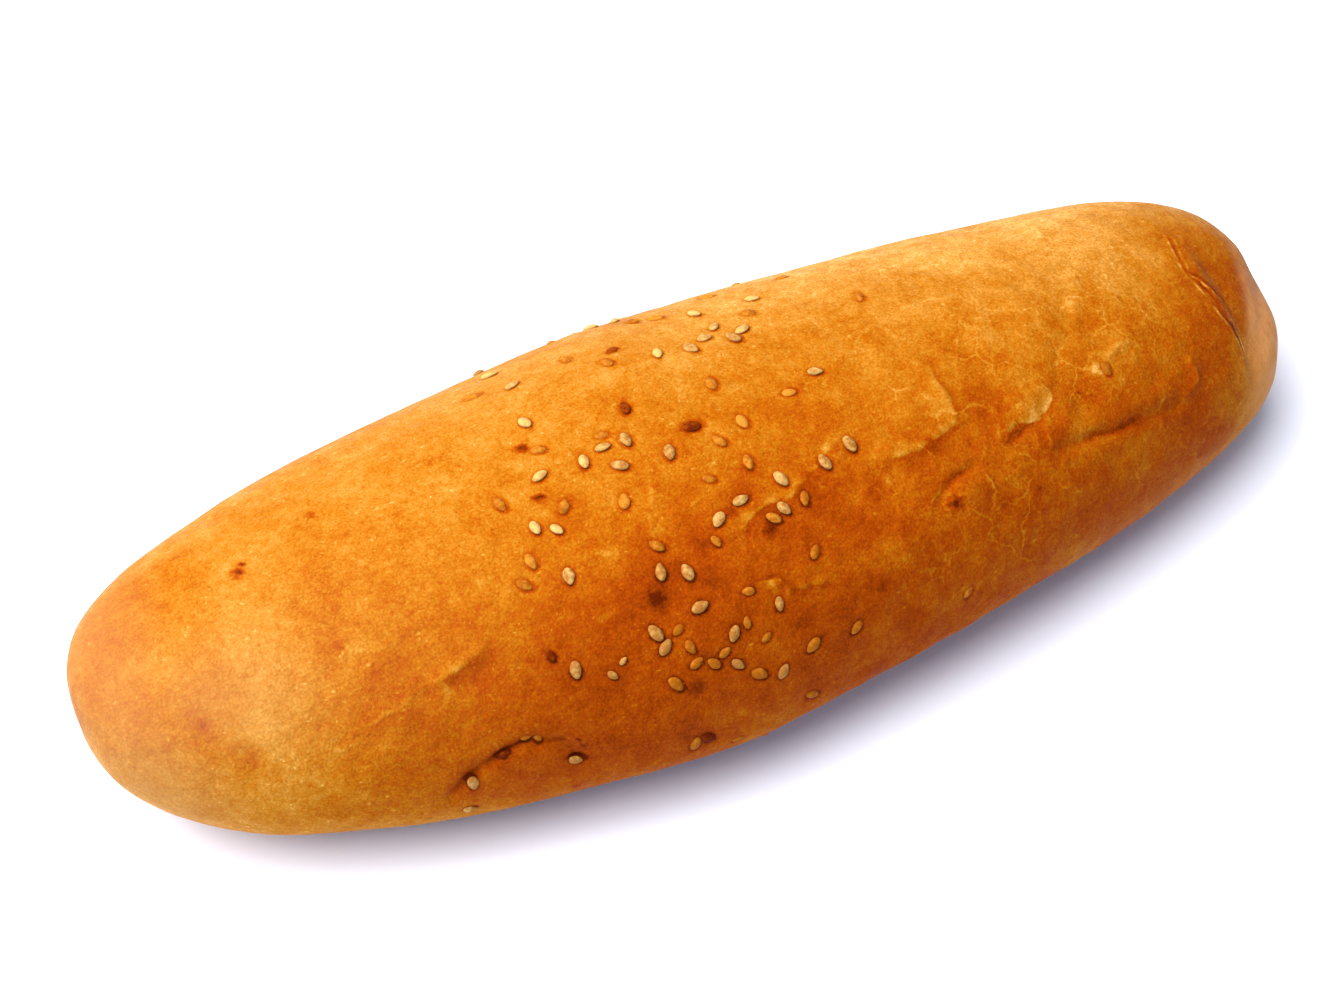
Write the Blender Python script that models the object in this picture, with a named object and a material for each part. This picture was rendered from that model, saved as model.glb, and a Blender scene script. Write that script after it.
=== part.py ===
# A soft long loaf with sesame over its middle, in metres. +X runs along the loaf and +Z is up.
# It rests on its flat base at z = 0, and the origin is on that plane under the middle of its box.
# A place on the crust is given by how far along it is, and by how far round from the crown
# in degrees, towards the front at -Y.

import math

import bmesh
import bpy
from mathutils import Vector, noise
from mathutils.bvhtree import BVHTree

# Driving dimensions of the loaf.
LENGTH = 0.225
WIDTH = 0.0842
HEIGHT = 0.0468
GIRTH_HEIGHT = 0.017
WIDEST_AT = -0.087
LEFT_END = (1.635, 0.38)
RIGHT_END = (1.15, 0.261)
CROWN_FALL = 0.85
CROWN_SQUARENESS = 2.14
UNDER_SQUARENESS = 1.94
LEFT_TIP_RISE = 0.0054
RIGHT_TIP_DROP = 0.0022
BOW = 0.0053
SLEW = 0.0023
BASE_CUT = 0.0025
UNDER_RISE_POWER = 7
BOX_MIDDLE = Vector((0.0, -0.0055, 0.0))
MM = 0.001

# The rows of faces: round the loaf, along it, and how far they gather at the crown.
ROUND_FACES = 52
LONG_FACES = 46
CROWN_GATHER = 0.25

# The far end is folded in front: beyond the fold the crust is sunk, above a lip at the tip.
FOLD_AT = 0.0955
FOLD_SPREAD = 0.004
FOLD_BACK = 0.009
FOLD_BACK_SPREAD = 0.010
END_SINK = 0.0015
LIP_TOP = 0.0205
LIP_SPREAD = 0.006

# Uneven proofing: wave length and height of the soft swells over the crust.
SWELLS = ((0.034, 0.0007), (0.013, 0.00022))
SWELL_PLACE = Vector((-4.5, 1.0, -1.0))

# Creases and ridges: their points as (mm along, degrees round), half width in mm and
# height in mm, which is below 0 for a crease. Shoulder is the swelling above them, in mm.
FURROWS = {
    "end_fold": ([(95.6, -12), (92.8, 11), (96, 33), (97.7, 55)], 1.3, -1.0, 0.3),
    "front_crease": ([(53, 48), (62, 51), (71.6, 53), (78, 56)], 1.5, -0.9, 0.9),
    "crown_crease": ([(44, 39), (52, 36), (56, 30), (61, 19), (66, 10), (73, -5)], 1.7, -0.45, 0.3),
    "middle_ridge": ([(22, 27), (28, 30), (33, 28), (37, 26), (36, 18), (37, 11)], 1.5, 0.45, 0.0),
    "dimple_crease": ([(28, 46), (31, 42), (33, 41), (36, 41)], 1.3, -0.55, 0.4),
    "sesame_ridge": ([(-2, 28), (4, 29), (11, 25), (16, 20)], 1.5, 0.45, 0.0),
    "left_ridge": ([(-60, 43), (-55, 39)], 1.4, 0.6, 0.0),
    "left_hollow": ([(-58, 46), (-55, 44)], 1.8, -0.6, 0.0),
    "lobe_crease": ([(-64, 86), (-61, 78), (-55, 71), (-51, 69), (-46, 72), (-43.5, 80)], 1.5, -1.0, 0.0),
    "end_crack": ([(84, 43), (84, 51), (81, 53)], 1.2, 0.3, 0.0),
}
SHOULDER_SHIFT = 0.0032
EDGE_FADE = 0.004
FINE_FACES_WITHIN = 0.0036
SHOWN_DEPTH = 0.4
SLOPE_STEP = 0.5

# Sesame: the size of an even seed, its pointed end, how far it stands out, and its faces.
SEED_LENGTH = 0.0030
SEED_WIDTH = 0.0019
SEED_THICKNESS = 0.0010
SEED_POINT = 0.35
SEED_LIFT = 0.0001
SEED_ROUND_FACES = 5
SEED_LONG_FACES = 4

# Every seed: mm along, degrees round, degrees turned from the loaf's length, and its size.
SESAME = (
    (-15.6, -91, 10, 0.9), (-3.2, -88.5, 140, 1), (-21, -78.3, 95, 0.92), (-12.5, -72, 112, 0.95),
    (-8.1, -63.7, 60, 0.97), (1.5, -66.4, 18, 1.02), (4.6, -75.5, 120, 0.85), (9, -81, 75, 0.9),
    (12.8, -70.2, 155, 0.88), (-27.8, -45.9, 165, 1.02), (-27.2, -61.5, 40, 1), (-13.9, -55.9, 50, 0.9),
    (-6.4, -55.2, 133, 1.03), (-2.3, -53, 76, 0.97), (-0.8, -44.5, 118, 1.03), (2.8, -41.4, 133, 1.03),
    (14.1, -47.7, 154, 0.94), (22.4, -60.8, 30, 0.94), (27.6, -43.8, 7, 0.91), (-33.4, -35.6, 163, 1.03),
    (-29.3, -14.6, 102, 1), (-26.8, -31.4, 13, 0.93), (-16.3, -32.8, 97, 0.9), (-11.2, -23.9, 113, 1),
    (-8.9, -28.4, 19, 0.87), (-2.8, -20.7, 75, 0.93), (2.8, -19, 120, 1.03), (6.2, -21.4, 175, 0.88),
    (8.6, -35.4, 116, 0.93), (9.3, -25.3, 52, 0.87), (10.6, -18.1, 110, 1.1), (12.9, -20.2, 23, 1.01),
    (16.2, -27, 144, 0.93), (19.2, -34, 150, 0.87), (34.8, -18.1, 78, 0.9), (-40.2, 3.6, 100, 1.03),
    (-37.1, 12.5, 94, 0.9), (-32.2, 0.8, 20, 0.99), (-31.2, 9.9, 54, 1.03), (-30.1, -5.3, 157, 0.92),
    (-24.6, 1.5, 79, 0.97), (-20.6, 0.1, 177, 0.94), (-19.7, 5.5, 143, 1.04), (-19.7, -2.7, 165, 0.82),
    (-16.6, 0.4, 88, 1.07), (-13.7, -7.1, 83, 0.98), (-11.3, 6.9, 72, 1.07), (-5.7, 2.7, 163, 1.13),
    (-2.7, 8.5, 113, 0.98), (1.8, -5.7, 85, 1.03), (2.7, 5.7, 90, 1.03), (12.7, 2.9, 168, 0.86),
    (18.8, 0.4, 159, 0.9), (-42.8, 25.3, 133, 0.96), (-40.2, 20.2, 96, 1.02), (-35.8, 27, 83, 1),
    (-34.1, 14.8, 123, 0.83), (-22.1, 14.1, 70, 1.03), (-21.9, 33.7, 79, 1.03), (-20.6, 27.2, 130, 0.96),
    (-17.9, 36.1, 98, 1.02), (-11.4, 31.4, 106, 0.75), (-9.4, 26.7, 41, 1), (-7.6, 16.5, 145, 0.81),
    (-4.6, 24.2, 6, 0.99), (-0.7, 31.4, 137, 0.97), (-0.2, 16, 79, 0.98), (1.6, 30.2, 114, 0.92),
    (3.4, 23, 105, 1.05), (5.7, 29.8, 71, 0.92), (11.7, 23.2, 98, 1.07), (17.2, 21.4, 94, 1.1),
    (66.9, 31.9, 88, 0.92), (-43.2, 45.4, 103, 0.68), (-40.4, 51, 84, 1), (-35.1, 55.7, 133, 0.65),
    (-32.8, 52.7, 34, 0.53), (-26.4, 48.2, 118, 1.07), (-25.7, 52.7, 42, 1), (-22.8, 49.4, 28, 0.75),
    (-21.8, 55, 106, 0.87), (-21.6, 59.9, 26, 0.9), (-18.9, 61.8, 135, 0.87), (-18.2, 45.6, 10, 1.03),
    (-16.7, 59.9, 22, 0.8), (-14.3, 55.7, 55, 0.96), (-11.6, 54.1, 81, 0.75), (-9.7, 46.3, 164, 0.78),
    (-9.2, 60.4, 25, 0.73), (-5.4, 52.9, 76, 0.83), (3.6, 43.8, 49, 0.89), (-60.7, 81.1, 100, 0.96),
    (-55.1, 72, 21, 0.74), (-51.1, 68.5, 179, 0.63), (-49.3, 69.7, 120, 0.66), (-43.8, 80.9, 161, 0.83),
    (-25.8, 64.1, 125, 1.03), (-24.3, 87.4, 68, 0.98), (-22.3, 86.5, 141, 0.97), (-15.1, 64.6, 132, 0.84),
    (-11.9, 70.4, 148, 1.03), (-7.8, 72.7, 51, 0.93), (-2.9, 87, 147, 0.93), (-1.6, 69, 29, 1.03),
    (6.7, 70.2, 36, 0.92), (28.8, 79, 39, 0.83), (-61.4, 95.8, 2, 0.83), (-16.8, 93.5, 0, 0.73),
    (-10.9, 105.4, 109, 0.8),
)

CRUST_COLOUR = (0.65, 0.19, 0.015, 1.0)
CRUST_ROUGHNESS = 0.45
SMOOTH_ANGLE = 35


def clear_scene():
    for item in list(bpy.data.objects):
        bpy.data.objects.remove(item)


def smooth_step(value):
    value = min(max(value, 0.0), 1.0)
    return value * value * (3 - 2 * value)


def signed_power(value, power):
    return math.copysign(abs(value) ** power, value)


# How much of the loaf's girth is left at a share of its half length, -1 to 1.
def girth_left(share):
    if share < WIDEST_AT:
        reach = (WIDEST_AT - share) / (1 + WIDEST_AT)
        power, root = LEFT_END
    else:
        reach = (share - WIDEST_AT) / (1 - WIDEST_AT)
        power, root = RIGHT_END
    return max(1 - reach**power, 0.0) ** root


# The smooth loaf: a flattened oval section that narrows to both ends, bowed to the front.
def smooth_point(share, angle):
    girth = girth_left(share)
    tip = LEFT_TIP_RISE if share < 0 else -RIGHT_TIP_DROP
    middle = GIRTH_HEIGHT + tip * abs(share) ** 3
    side, up = math.sin(angle), math.cos(angle)
    if up > 0:
        square = CROWN_SQUARENESS
        rise = (HEIGHT - GIRTH_HEIGHT) * girth**CROWN_FALL
    else:
        square = UNDER_SQUARENESS
        rise = (middle + BASE_CUT) * math.sqrt(max(1 - abs(share) ** UNDER_RISE_POWER, 0.0))
    height = middle + rise * signed_power(up, 2 / square)
    across = -WIDTH / 2 * girth * signed_power(side, 2 / square)
    across += SLEW * share - BOW * (1 - share * share)
    return Vector((share * LENGTH / 2, across, max(height, 0.0))) - BOX_MIDDLE


def place_on_crust(along_mm, degrees):
    return smooth_point(along_mm * MM / (LENGTH / 2), math.radians(degrees))


# The way out of the smooth loaf at a place on its crust, and the way along it.
def crust_directions(along_mm, degrees):
    ahead = place_on_crust(along_mm + SLOPE_STEP, degrees) - place_on_crust(along_mm - SLOPE_STEP, degrees)
    towards = place_on_crust(along_mm, degrees + SLOPE_STEP) - place_on_crust(along_mm, degrees - SLOPE_STEP)
    return towards.cross(ahead).normalized(), ahead.normalized()


def distance_to_line(place, line):
    nearest = 1.0
    for start, end in zip(line, line[1:]):
        run = end - start
        share = min(max((place - start).dot(run) / run.length_squared, 0.0), 1.0)
        nearest = min(nearest, (place - start - run * share).length)
    return nearest


def furrow_lines():
    return {
        name: [place_on_crust(*point) for point in points]
        for name, (points, _, _, _) in FURROWS.items()
    }


# How far the crust stands out from the smooth loaf at a place on it.
def relief(place, lines):
    height = 0.0
    for length, rise in SWELLS:
        height += rise * noise.noise(place / length + SWELL_PLACE)
    for name, (_, half_width, furrow_height, shoulder) in FURROWS.items():
        spread = half_width * MM
        away = distance_to_line(place, lines[name])
        height += furrow_height * MM * math.exp(-((away / spread) ** 2))
        if shoulder:
            lowered = place - Vector((0, 0, SHOULDER_SHIFT))
            away = distance_to_line(lowered, lines[name])
            height += shoulder * MM * math.exp(-((away / (2 * spread)) ** 2))
    beyond_fold = smooth_step((place.x - FOLD_AT) / FOLD_SPREAD)
    in_front = smooth_step((FOLD_BACK - place.y) / FOLD_BACK_SPREAD)
    above_lip = smooth_step((place.z - LIP_TOP) / LIP_SPREAD)
    height -= END_SINK * beyond_fold * in_front * above_lip
    return height * smooth_step(place.z / EDGE_FADE)


def make_loaf(lines):
    shape = bmesh.new()
    bmesh.ops.create_uvsphere(shape, u_segments=ROUND_FACES, v_segments=LONG_FACES, radius=1)
    for vertex in shape.verts:
        share = vertex.co.z
        turn = math.atan2(-vertex.co.y, vertex.co.x)
        vertex.co = smooth_point(share, turn - CROWN_GATHER * math.sin(turn))
    bmesh.ops.recalc_face_normals(shape, faces=shape.faces)

    deep = [lines[name] for name in FURROWS if abs(FURROWS[name][2]) > SHOWN_DEPTH]
    near = {
        vertex
        for vertex in shape.verts
        if min(distance_to_line(vertex.co, line) for line in deep) < FINE_FACES_WITHIN
    }
    split = [edge for edge in shape.edges if edge.verts[0] in near and edge.verts[1] in near]
    bmesh.ops.subdivide_edges(shape, edges=split, cuts=1, use_grid_fill=True)

    shape.normal_update()
    moves = [vertex.normal * relief(vertex.co, lines) for vertex in shape.verts]
    for vertex, move in zip(shape.verts, moves):
        vertex.co += move
        vertex.co.z = max(vertex.co.z, 0.0)
    bmesh.ops.triangulate(shape, faces=shape.faces)

    mesh = bpy.data.meshes.new("loaf")
    shape.to_mesh(mesh)
    shape.free()
    loaf = bpy.data.objects.new("loaf", mesh)
    bpy.context.collection.objects.link(loaf)
    return loaf


# A sesame seed: a flat oval, pointed at one end, lying on the crust.
def make_seed(name, seed, lines, crust):
    along, degrees, turned, size = seed
    turn = math.radians(turned)
    outward, ahead = crust_directions(along, degrees)
    beside = outward.cross(ahead)
    pointing = ahead * math.cos(turn) + beside * math.sin(turn)
    crossing = outward.cross(pointing)
    smooth = place_on_crust(along, degrees)
    centre = crust.find_nearest(smooth + outward * relief(smooth, lines))[0] + outward * SEED_LIFT

    shape = bmesh.new()
    bmesh.ops.create_uvsphere(shape, u_segments=SEED_ROUND_FACES, v_segments=SEED_LONG_FACES, radius=0.5)
    for vertex in shape.verts:
        reach = vertex.co.z
        narrowing = 1 - SEED_POINT * 2 * max(reach, 0)
        vertex.co = (
            centre
            + pointing * reach * SEED_LENGTH * size
            + crossing * vertex.co.x * SEED_WIDTH * size * narrowing
            + outward * vertex.co.y * SEED_THICKNESS * size * narrowing
        )
    bmesh.ops.recalc_face_normals(shape, faces=shape.faces)
    bmesh.ops.triangulate(shape, faces=shape.faces)
    mesh = bpy.data.meshes.new(name)
    shape.to_mesh(mesh)
    shape.free()
    return bpy.data.objects.new(name, mesh)


# One union fuses every seed to the loaf, and the loose seeds are then removed.
def fuse_sesame(loaf, lines):
    crust = BVHTree.FromObject(loaf, bpy.context.evaluated_depsgraph_get())
    sesame = bpy.data.collections.new("sesame")
    bpy.context.scene.collection.children.link(sesame)
    for number, seed in enumerate(SESAME):
        sesame.objects.link(make_seed(f"sesame_{number}", seed, lines, crust))
    union = loaf.modifiers.new("fused_sesame", "BOOLEAN")
    union.operation = "UNION"
    union.operand_type = "COLLECTION"
    union.collection = sesame
    bpy.context.view_layer.update()
    evaluated = loaf.evaluated_get(bpy.context.evaluated_depsgraph_get())
    fused = bpy.data.meshes.new_from_object(evaluated)
    loaf.modifiers.clear()
    loaf.data = fused
    for seed in list(sesame.objects):
        bpy.data.objects.remove(seed)
    bpy.data.collections.remove(sesame)


def crust_material():
    crust = bpy.data.materials.new("crust")
    crust.use_nodes = True
    surface = crust.node_tree.nodes["Principled BSDF"]
    surface.inputs["Base Color"].default_value = CRUST_COLOUR
    surface.inputs["Roughness"].default_value = CRUST_ROUGHNESS
    surface.inputs["Metallic"].default_value = 0.0
    return crust


def main():
    clear_scene()
    lines = furrow_lines()
    loaf = make_loaf(lines)
    fuse_sesame(loaf, lines)
    loaf.data.materials.clear()
    loaf.data.materials.append(crust_material())
    loaf.data.shade_smooth()
    loaf.data.set_sharp_from_angle(angle=math.radians(SMOOTH_ANGLE))


main()
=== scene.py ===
import math
import random

import bmesh
import bpy
import numpy as np
from mathutils import Matrix, Vector, noise
from mathutils.bvhtree import BVHTree


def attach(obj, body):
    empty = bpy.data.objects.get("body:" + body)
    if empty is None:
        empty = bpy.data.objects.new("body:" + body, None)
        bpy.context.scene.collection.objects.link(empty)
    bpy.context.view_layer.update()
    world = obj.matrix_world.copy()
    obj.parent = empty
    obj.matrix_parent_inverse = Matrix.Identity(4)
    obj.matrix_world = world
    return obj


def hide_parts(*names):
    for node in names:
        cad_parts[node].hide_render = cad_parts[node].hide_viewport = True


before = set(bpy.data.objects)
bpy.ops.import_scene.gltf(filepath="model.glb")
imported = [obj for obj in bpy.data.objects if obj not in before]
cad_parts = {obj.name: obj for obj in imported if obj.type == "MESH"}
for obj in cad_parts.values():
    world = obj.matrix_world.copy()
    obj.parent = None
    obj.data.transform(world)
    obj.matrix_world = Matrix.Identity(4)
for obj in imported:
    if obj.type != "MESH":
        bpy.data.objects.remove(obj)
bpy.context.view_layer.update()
print("loaf frame loaded")

# The loaf's own sizes in metres. A place on the crust is mm along it from its middle
# and degrees round from the crown, towards the front.
loafShape = dict(
    length=0.225, width=0.0842, height=0.0468, girthHeight=0.017, widestAt=-0.087,
    leftEnd=(1.635, 0.38), rightEnd=(1.15, 0.261), crownFall=0.85,  # powers of the ends' curves
    crownSquareness=2.14, underSquareness=1.94, leftTipRise=0.0054, rightTipDrop=0.0022,
    bow=0.0053, slew=0.0023, baseCut=0.0025, underRisePower=7, boxMiddle=(0.0, -0.0055, 0.0),
)

# Relief that the solid has too: the step at the far end's fold, and soft swells.
crustRelief = dict(
    foldAt=0.0955, foldSpread=0.004, foldBack=0.009, foldBackSpread=0.010, endSink=0.0015,
    lipTop=0.0205, lipSpread=0.006, edgeFade=0.004,
    swells=((0.034, 0.0007), (0.013, 0.00022)), shoulderShift=0.0032,
)

# The larger creases and ridges: points (mm along, degrees round), half width mm, height mm
# (below 0 for a crease) and the height in mm of the shoulder above it.
furrows = dict(
    endFold=([(93.0, 7), (93.6, 17), (96, 33), (97.7, 55)], 1.1, -0.10, 0.0),
    frontCrease=([(53, 48), (62, 51), (71.6, 53), (78, 56)], 1.5, -0.65, 0.68),
    crownCrease=([(44, 39), (52, 36), (56, 30), (61, 19), (66, 10), (73, -5)], 1.7, -0.32, 0.15),
    middleRidge=([(22, 27), (28, 30), (33, 28), (37, 26), (36, 18), (37, 11)], 1.9, 0.25, 0.0),
    dimpleCrease=([(28, 46), (31, 42), (33, 41), (36, 41)], 1.3, -0.45, 0.15),
    sesameRidge=([(-2, 28), (4, 29), (11, 25), (16, 20)], 1.9, 0.22, 0.0),
    leftRidge=([(-61, 43.5), (-54, 39)], 1.4, 0.32, 0.0),
    leftHollow=([(-57, 46), (-53, 43)], 1.8, -0.22, 0.0),
    lobeCrease=([(-64, 86), (-61, 78), (-55, 71), (-51, 69), (-46, 72), (-43.5, 80)], 1.3, -0.7, 0.0),
    endCrack=([(84, 43), (84, 51), (81, 53)], 1.2, 0.3, 0.0),
)

# Fine folds in the skin: points, width mm, step mm (the left side higher), ridge mm (below 0
# for a valley), how pale the high edge is, partly paler crust and partly painted highlight, and how
# much painted shade lies on the low side or along a valley.
skinFolds = (
    ([(21, 29), (24.5, 30), (28, 30), (31, 29), (34, 28), (37, 27), (36.5, 23), (37.5, 19),
      (36.5, 16), (37, 10)], 0.6, 0.17, 0.0, 0.26, 0.22),
    ([(54, 28), (55.5, 31), (54, 34), (52, 36), (49.5, 36), (46, 35), (44, 37)],
     0.45, -0.14, 0.0, 0.40, 0.24),
    ([(49, 38), (46.5, 38), (44.5, 38)], 0.5, 0.0, -0.25, 0.0, 0.40),
    ([(51, 40), (51, 44), (51, 48)], 0.4, 0.0, 0.12, 0.22, 0.0),
    ([(45, 5), (43.5, 8), (42, 12)], 0.35, 0.0, 0.14, 0.52, 0.0),
    ([(45.5, 1), (46, 4)], 0.35, 0.0, 0.10, 0.35, 0.0),
    ([(30, 44), (30.5, 42), (32.5, 41), (36, 41)], 0.5, 0.0, -0.15, 0.0, 0.35),
    ([(28, 47), (29.5, 45), (32, 43)], 0.6, 0.0, 0.12, 0.28, 0.0),
    ([(37, 42), (37.5, 46), (38, 50)], 0.4, 0.0, 0.12, 0.25, 0.0),
    ([(40.5, 33), (39, 38), (37.5, 42)], 0.45, 0.0, 0.10, 0.18, 0.0),
    ([(50, 58), (51, 61), (52.5, 61), (53.5, 65), (55, 66)], 0.4, 0.0, 0.10, 0.26, 0.0),
    ([(45, 64), (45, 69), (44.5, 72)], 0.4, 0.0, 0.10, 0.18, 0.0),
    ([(84, 44), (84.5, 50), (82.5, 53), (80.5, 53)], 0.5, 0.0, 0.16, 0.28, 0.10),
    ([(57, 49), (60, 49.5), (65.5, 52), (70, 53)], 0.6, 0.0, -0.2, 0.0, 0.38),
    ([(67, 28), (70.5, 27), (74.5, 26)], 0.9, 0.0, 0.25, 0.22, 0.0),
    ([(66, 12), (70, 3), (73.5, -6)], 1.6, 0.0, 0.30, 0.14, 0.0),
    ([(95.2, -7), (94.4, -1), (93.5, 5), (93.2, 14)], 0.30, 0.0, -0.04, 0.0, 0.34),
    ([(94.7, -7), (93.8, -1), (92.9, 5), (92.6, 14)], 0.4, 0.0, 0.04, 0.54, 0.0),
    ([(96.0, -6), (95.2, -1), (94.2, 5), (93.8, 14)], 0.35, 0.0, 0.02, 0.24, 0.0),
    ([(93, 10), (95, 18), (97.5, 29)], 0.35, 0.0, 0.05, 0.48, 0.0),
    ([(93.7, 10), (95.8, 18), (98.2, 29)], 0.35, 0.0, -0.06, 0.0, 0.50),
    ([(92.6, 11), (93.8, 22), (94.3, 31), (95.3, 39), (96.3, 48), (97, 59)], 0.5, 0.0, 0.06, 0.36, 0.0),
    ([(97, 30), (97.6, 41), (98.2, 52), (98.2, 60)], 0.35, 0.0, 0.07, 0.46, 0.0),
    ([(96.0, 36), (96.4, 41), (96.8, 46), (97.0, 50)], 0.36, 0.0, -0.12, 0.0, 1.0),
    ([(95.0, 29), (95.7, 34), (96.2, 39)], 0.34, 0.0, -0.06, 0.0, 0.45),
    ([(96.9, 47), (97.2, 51), (97.4, 56)], 0.34, 0.0, -0.05, 0.0, 0.30),
    ([(93.6, 12), (94.9, 20), (95.9, 29)], 0.36, 0.0, -0.08, 0.0, 0.50),
    ([(93.5, 74), (91, 78)], 0.6, 0.0, 0.12, 0.14, 0.0),
    ([(-8, 40), (-7.5, 36), (-6.5, 32), (-5, 29)], 0.5, 0.06, 0.0, 0.16, 0.08),
    ([(-6, 30.5), (-3, 28), (0, 28), (2.5, 29), (4.5, 28), (7, 25), (9.5, 24), (11.5, 22),
      (13.5, 20), (16, 20)], 0.5, 0.15, 0.0, 0.32, 0.20),
    ([(13.5, 29), (11.5, 27)], 0.4, 0.0, 0.1, 0.22, 0.0),
    ([(20.5, 32), (20, 36)], 0.6, 0.0, 0.12, 0.26, 0.0),
    ([(-4, 53), (-3, 51), (-3.5, 48), (-5, 46), (-7.5, 45)], 0.5, 0.14, 0.0, 0.38, 0.18),
    ([(-3, 50), (-1, 52), (2, 52), (5.5, 54)], 0.45, 0.16, 0.0, 0.26, 0.22),
    ([(-17.3, 21.8), (-13.3, 21.1), (-9.8, 20.2)], 0.4, 0.0, 0.1, 0.30, 0.05),
    ([(-33.5, 41), (-31.5, 40), (-29, 40)], 0.5, 0.15, 0.0, 0.24, 0.12),
    ([(-35.5, 46), (-33, 47)], 0.4, 0.0, 0.1, 0.20, 0.05),
    ([(-44, 63), (-42, 62), (-43, 65)], 0.4, 0.0, 0.1, 0.20, 0.08),
    ([(-14.9, 5), (-16.9, 11), (-17.4, 15), (-19.9, 20), (-20.2, 25), (-21.6, 29)],
     0.6, 0.0, 0.08, 0.13, 0.0),
    ([(-34.2, 22.5), (-29.9, 24.4), (-25.6, 25.8)], 1.2, 0.0, 0.12, 0.16, 0.0),
    ([(-61, 43.5), (-58.3, 42), (-55, 39.8), (-53, 38)], 0.7, 0.16, 0.0, 0.32, 0.10),
    ([(-59, 47.5), (-60, 46), (-61, 43.5)], 0.6, 0.12, 0.0, 0.34, 0.0),
    ([(-74, 51.5), (-69, 48.5), (-64.7, 45.8)], 0.6, 0.0, 0.08, 0.13, 0.0),
    ([(-81, 61), (-78, 58.5), (-75.5, 58)], 0.5, 0.0, 0.08, 0.18, 0.0),
    ([(-72.3, 23), (-71.9, 26), (-71.5, 29.5)], 0.5, 0.0, 0.08, 0.20, 0.0),
    ([(-71.5, 27.5), (-69, 29.2), (-65.5, 30.5)], 0.6, 0.0, 0.06, 0.15, 0.0),
    ([(-55.5, 50), (-54, 52), (-52.5, 54)], 0.4, 0.0, 0.1, 0.26, 0.08),
    ([(-59.5, 50), (-57, 52)], 0.4, 0.0, 0.1, 0.22, 0.0),
    ([(-58, 75), (-56.5, 72), (-53.5, 70), (-51.5, 69), (-49.5, 69)], 0.45, 0.0, -0.25, 0.0, 0.55),
    ([(-64, 86), (-62.5, 82), (-61, 77), (-58, 75)], 0.6, 0.0, -0.15, 0.0, 0.35),
    ([(-49.5, 69), (-47.5, 71), (-45.5, 72), (-44, 76)], 0.5, 0.0, -0.15, 0.0, 0.30),
    ([(-46, 79), (-43, 80), (-41.5, 83)], 0.5, 0.0, -0.25, 0.0, 0.60),
)

# Soft swollen or sunken places: mm along, degrees round, radius mm, height mm, how much browner:
# partly the crust's own tone, partly painted shade in the hollows and painted light on the swells.
pillows = (
    (31, 19, 6.5, 0.22, -0.10), (25, 25, 5.0, 0.18, -0.10), (50, 30, 3.8, 0.18, -0.12),
    (60, 9, 6.0, 0.22, -0.08), (76, 20, 7.0, 0.20, -0.05), (67, 39, 5.5, 0.35, -0.06),
    (45, 43, 4.2, 0.22, -0.06), (33, 46, 3.8, 0.30, -0.10), (68, 17, 4.0, -0.30, 0.14),
    (60, 37, 4.0, -0.25, 0.10), (44, 25, 5.0, -0.22, 0.16), (34, 34, 4.5, -0.28, 0.10),
    (38, 54, 4.5, -0.22, 0.06), (88, 32, 5.0, 0.18, 0.02), (-5, 7, 7.0, 0.15, -0.08),
    (-26, 26, 6.0, 0.12, -0.06), (-14, 32, 5.0, -0.15, 0.06), (6, 38, 6.0, -0.18, 0.06),
    (20, 46, 5.0, 0.15, -0.02), (-48, 26, 6.0, 0.15, -0.08), (-54.5, 44, 3.2, -0.12, 0.17),
    (-36, 60, 6.0, -0.15, 0.05), (-18, 50, 5.0, 0.15, -0.04), (10, 62, 5.0, 0.15, 0.02),
    (-70, 28, 4.0, 0.10, -0.14), (-83, 22, 6.0, 0.10, -0.10), (-88, 47, 5.0, 0.10, -0.10),
    (-97, 43, 2.4, -0.12, 0.30), (-91.5, 57, 2.6, -0.12, 0.34), (-88, 58, 1.6, 0.05, -0.14),
    (-104, 40, 5.0, 0.10, 0.06), (-78, 60, 5.0, -0.12, 0.08), (-70, 45, 5.0, 0.12, 0.06),
    (-100, 70, 6.0, 0.10, 0.03), (26, 66, 6.0, -0.15, 0.04), (58, 64, 6.0, 0.15, 0.03),
    (80, 62, 5.0, -0.18, 0.05), (-30, 78, 6.0, 0.15, 0.02), (0, 80, 6.0, -0.12, 0.03),
    (78, -20, 8.0, 0.15, -0.05), (40, -20, 8.0, 0.12, 0.04), (-50, -15, 9.0, 0.12, 0.04),
    (-90, -10, 8.0, 0.12, 0.05),
)


def smoothStep(value):
    value = np.clip(value, 0.0, 1.0)
    return value * value * (3 - 2 * value)


# 1 at no distance, falling softly to 0.
def bell(distance, spread):
    return np.exp(-((distance / spread) ** 2))


def signedPower(value, power):
    return np.sign(value) * np.abs(value) ** power


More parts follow.
